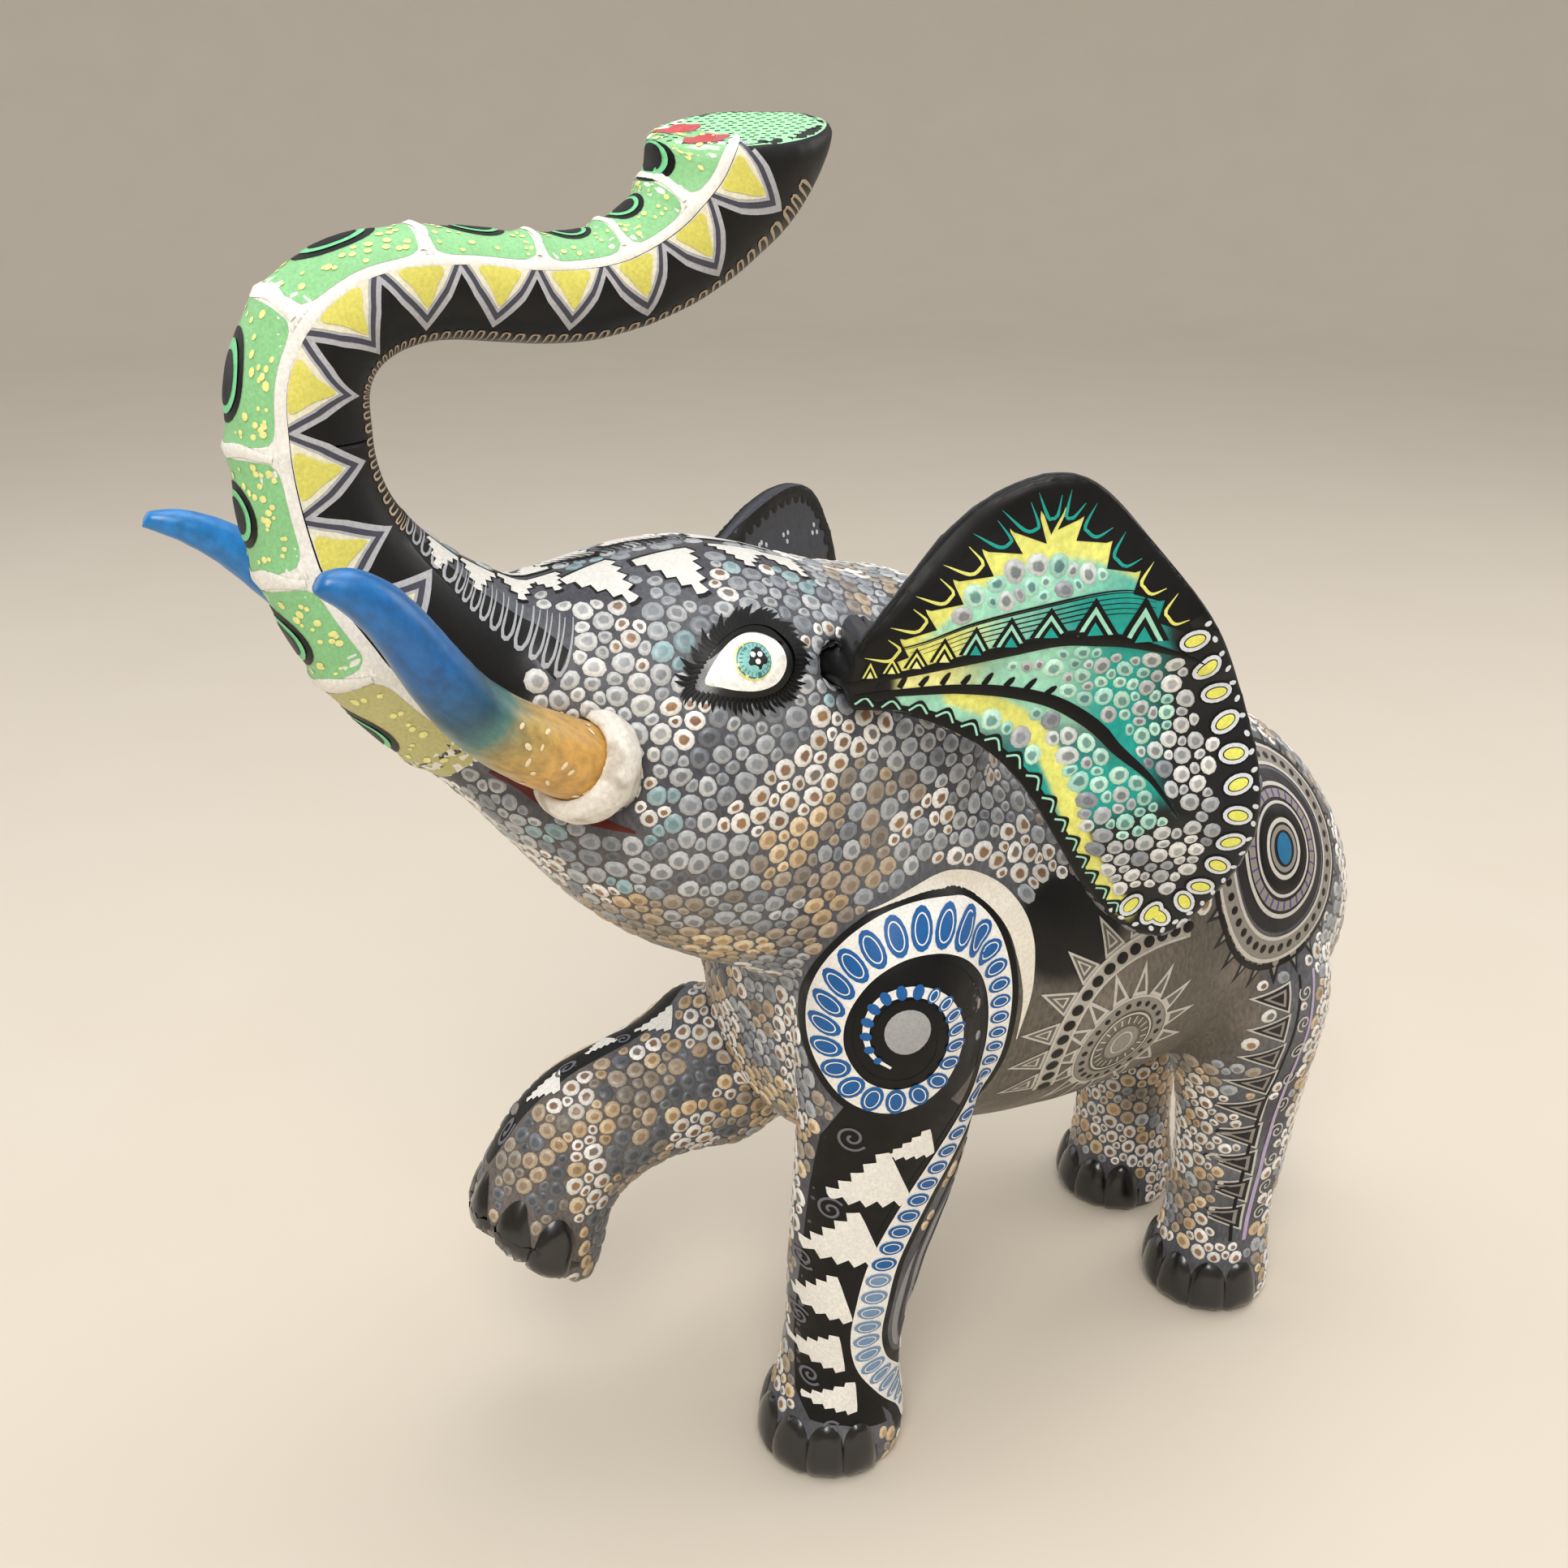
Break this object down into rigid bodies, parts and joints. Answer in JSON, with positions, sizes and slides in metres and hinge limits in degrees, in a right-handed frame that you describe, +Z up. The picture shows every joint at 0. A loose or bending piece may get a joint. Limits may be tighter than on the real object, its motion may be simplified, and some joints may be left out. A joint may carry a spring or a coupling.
{
  "type": "carved elephant figurine",
  "caption": "Hand-carved wooden elephant striding with trunk and right foreleg raised; ears and tail pull out of peg sockets, tusks set in filler beads.",
  "frame": {"origin": "on the ground, under the middle of the whole figure's outline", "axes": "the elephant faces -Y, its left side is +X, +Z is up"},
  "size_m": [0.1827, 0.3546, 0.357],
  "materials": {
    "painted_hide": "hand-painted acrylic under satin varnish",
    "trunk_paint": "hand-painted acrylic under satin varnish",
    "tusk_paint": "blended acrylic, satin",
    "ear_paint": "hand-painted acrylic under satin varnish",
    "white_filler": "thick brushed filler and white paint",
    "bare_wood": "unpainted turned dowel"
  },
  "bodies": {
    "figure": {"body": "painted_hide", "raised_foreleg": "painted_hide", "trunk_upper": "trunk_paint", "trunk_dowel": "bare_wood", "left_tusk": "tusk_paint", "right_tusk": "tusk_paint", "left_tusk_collar": "white_filler", "right_tusk_collar": "white_filler"},
    "left_ear": {"left_ear": "ear_paint"},
    "right_ear": {"right_ear": "ear_paint"},
    "tail": {"tail": "painted_hide"}
  },
  "joints": [
    {"name": "left_ear_pull", "type": "slide", "parent": "figure", "child": "left_ear", "axis": [1, 0, 0], "range_m": [0, 0.014]},
    {"name": "right_ear_pull", "type": "slide", "parent": "figure", "child": "right_ear", "axis": [-1, 0, 0], "range_m": [0, 0.014]},
    {"name": "tail_pull", "type": "slide", "parent": "figure", "child": "tail", "axis": [0, 1, 0], "range_m": [0, 0.021]}
  ]
}
